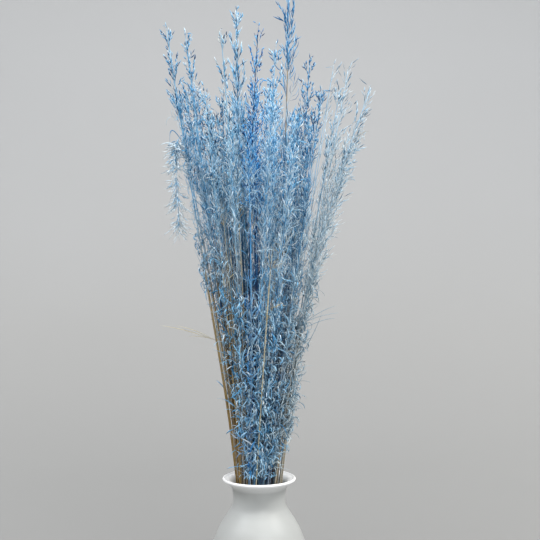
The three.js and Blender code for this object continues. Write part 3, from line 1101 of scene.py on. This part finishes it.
# Where each part of the bunch begins, left or right of the axis, and over what length
growth = {
    "readAt": 300 * mm,  # the height at which a plant's place is read
    "outermost": 44 * mm,  # how far off the axis the last ones stand there
    "golden": (9 * mm, 12 * mm),
    "edge": (23 * mm, 6 * mm),
    "loose": (18 * mm, 10 * mm),
}


def habitOf(plant, number):
    # What sets one plant apart from the next, by where it stands in the bunch
    low = culmAt(plant, np.array([growth["readAt"]]))[0]
    outer = np.linalg.norm(low[:2]) / growth["outermost"]
    # The left edge kept its straw colour, and the right edge is loose and leans out
    golden = rise(-low[0], *growth["golden"])
    edge = rise(-low[0], *growth["edge"])
    loose = rise(low[0], *growth["loose"])
    shredded = np.clip(outer, 0.15, 1) ** 1.2
    lowDye = random.normal(0.58 - 0.5 * golden, 0.12)
    headFoot = between((430 * mm, 500 * mm), 1)[0] - 35 * mm * loose + 35 * mm * edge
    plant.update(usual)
    plant.update({
        "slot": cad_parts[plant["name"]].data.materials[0].name,
        "turn": number * 2.1,
        "headFoot": max(partsOf(plant["shoots"], "root")[:, 2].min(), headFoot),
        "tone": random.normal(0, 0.06),
        "strips": shredded * (1 - 0.45 * golden) * (1 - 0.8 * edge) * (1 - 0.4 * loose),
        "stripLow": bunch["stripsFrom"] + 60 * mm * golden + 135 * mm * edge + 40 * mm * loose,
        "stripRise": 45 * mm * edge,
        "stemSize": 1 + 0.5 * edge,
        # Painted shade: stems nearer the middle of the bunch are painted darker
        "stemTone": 0.34 + 0.1 * golden - 0.6 * (1 - np.clip(outer, 0, 1)) + random.normal(0, 0.14),
        "sideStems": round(4 + 4 * golden - 2 * edge + 2 * loose),
        "dyeHeights": np.array([0.2, 0.36, 0.46]) + 0.05 * golden,
        "dyeLevels": np.array([lowDye, lowDye + 0.1, 0.95]).clip(0, 1),
    })
    if plant["slot"] == "grass_steel_blue":
        plant["headDye"] = 0.95
    if plant["slot"] in ("grass_deep_blue", "grass_strong_blue"):
        plant.update({"stripDye": 0.85, "stripTone": 0.14})
    if loose > 0.5:
        plant["stemFar"] = sideStem["farLoose"]
    if plant["slot"] == "straw_undyed":
        plant.update({
            "branchGap": 4.0,
            "spikeletWidth": 0.5,
            "headFoot": plant["top"] - 60 * mm,
            "stemSize": 0.75,
            "stemTone": 0.55,
            "dyeLevels": np.ones(3),
            "strips": 0,
            "sideStems": 1,
        })
    elif loose > 0.5:
        plant.update({
            "drift": np.array([0.3, 0, 0]),
            "wayward": 0.2,
            "stripTone": -0.16,
            "stripDye": 0.8,
            "stemTone": 0.28 + random.normal(0, 0.12),
            "dyeLevels": np.array([0.3, 0.55, 1.0]),
        })
    return plant


def setHabits(plants):
    # Gives each entry of the list to the plant it is for
    for habit in habits:
        place = np.array(habit["tip"]) * mm
        plant = min(plants, key=lambda one: np.linalg.norm(one["centres"][-1][[0, 2]] - place))
        for key, value in habit.items():
            if key in ("bare", "leftReach", "rightReach"):
                plant[key] = np.array(value) * mm
            elif key != "tip":
                plant[key] = value


finishes = {}
counts = []
names = sorted(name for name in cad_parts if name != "vase")
plants = [habitOf(readPlant(name), number) for number, name in enumerate(names)]
setHabits(plants)
print("plants read,", len(plants))
for plant in plants:
    name, slot = plant["name"], plant["slot"]
    pile = {"points": [], "faces": [], "tone": [], "dye": [], "count": 0}
    culmStrand(pile, plant)
    sideStems(pile, plant)
    leaves, shreds, branches = sortShoots(plant)
    own = shootCurves(branches)
    more = extraBranches(plant)
    branchStrands(pile, own, plant)
    spikelets(pile, keepToSide(own, plant), plant)
    branchStrands(pile, more, plant)
    spikelets(pile, more, plant)
    solidShreds(pile, shreds, plant)
    leafBlades(pile, leaves)
    for form in (strips, wisps, curls):
        curledStrips(pile, plant, form)
    strayHooks(pile, plant)
    droopingBranch(pile, plant)
    if slot not in finishes:
        finishes[slot] = dryGrass(slot)
    pieceName = name.replace("spray", "plume").replace("undyed_culm", "straw_stem")
    counts.append(makePiece(pieceName, pile, finishes[slot], name))
print("grass made,", sum(counts), "triangles, at most", max(counts), "in one plant")


# Floor, light and camera

stage = {
    "floorRadius": 1.0,
    "coveRadius": 1.9,
    "coveSteps": 24,
    "height": 3.2,
    "turns": 96,
}


def makeStage():
    # One sweep of plain pale paper that curves up all round
    angles = np.linspace(0, np.pi / 2, stage["coveSteps"] + 1)
    radii = stage["floorRadius"] + stage["coveRadius"] * np.sin(angles)
    heights = stage["coveRadius"] * (1 - np.cos(angles))
    profile = [*zip(radii, heights), (radii[-1], stage["height"])]
    turns = stage["turns"]
    ways = levelWay(2 * np.pi * np.arange(turns) / turns)
    points = np.concatenate([[0 * up]] + [radius * ways + height * up for radius, height in profile])
    faces = [(0, 1 + k, 1 + (k + 1) % turns) for k in range(turns)]
    for ring in range(len(profile) - 1):
        low = 1 + ring * turns
        high = low + turns
        for k in range(turns):
            after = (k + 1) % turns
            faces.append((low + k, high + k, high + after, low + after))
    mesh = bpy.data.meshes.new("studio_floor")
    mesh.from_pydata(points.tolist(), [], faces)
    mesh.shade_smooth()
    mesh.materials.append(studioPaper())
    floor = addObject("studio_floor", mesh)


middleOfBunch = (0, 0, 0.45)
behind = (0, 2.9, 0.9)
# Where each stands, what it points at, its width in metres, its power and its colour
lamps = {
    "left_softbox": ((-1.3, -0.4, 2.0), middleOfBunch, 0.9, 29, "#f9fbff"),
    "right_softbox": ((1.4, -0.3, 2.0), middleOfBunch, 0.9, 36, "#fffdf9"),
    "top_softbox": ((0.1, -0.6, 2.4), middleOfBunch, 0.9, 14, "#fffdf9"),
    "front_softbox": ((0.45, -1.25, 0.85), middleOfBunch, 0.8, 7.0, "#f6f9ff"),
    "wall_softbox": ((0, 1.0, 2.6), behind, 1.2, 13, "#ffffff"),
}
room = {
    "colour": "#eef1f4",
    "strength": 0.45,
}
view = {
    "place": (11.8 * mm, -985 * mm, 435.4 * mm),
    "tilt": 90,
    "lens": 60.24,
    "sensor": 36.0,
}


makeStage()
for name, (place, aim, size, power, colour) in lamps.items():
    data = bpy.data.lights.new(name, "AREA")
    data.shape = "DISK"
    data.size = size
    data.energy = power
    data.color = linear(colour)[:3]
    light = addObject(name, data)
    light.location = place
    light.rotation_euler = (Vector(aim) - Vector(place)).to_track_quat("-Z", "Y").to_euler()
world = bpy.data.worlds.new("soft_room")
world.use_nodes = True
background = world.node_tree.nodes["Background"]
background.inputs["Color"].default_value = linear(room["colour"])
background.inputs["Strength"].default_value = room["strength"]
bpy.context.scene.world = world
bpy.context.scene.view_settings.view_transform = "Standard"

cameraData = bpy.data.cameras.new("camera")
cameraData.lens = view["lens"]
cameraData.sensor_width = view["sensor"]
camera = addObject("camera", cameraData)
camera.location = view["place"]
camera.rotation_euler = (math.radians(view["tilt"]), 0, 0)
bpy.context.scene.camera = camera
print("stage, light and camera ready")

bpy.context.view_layer.update()
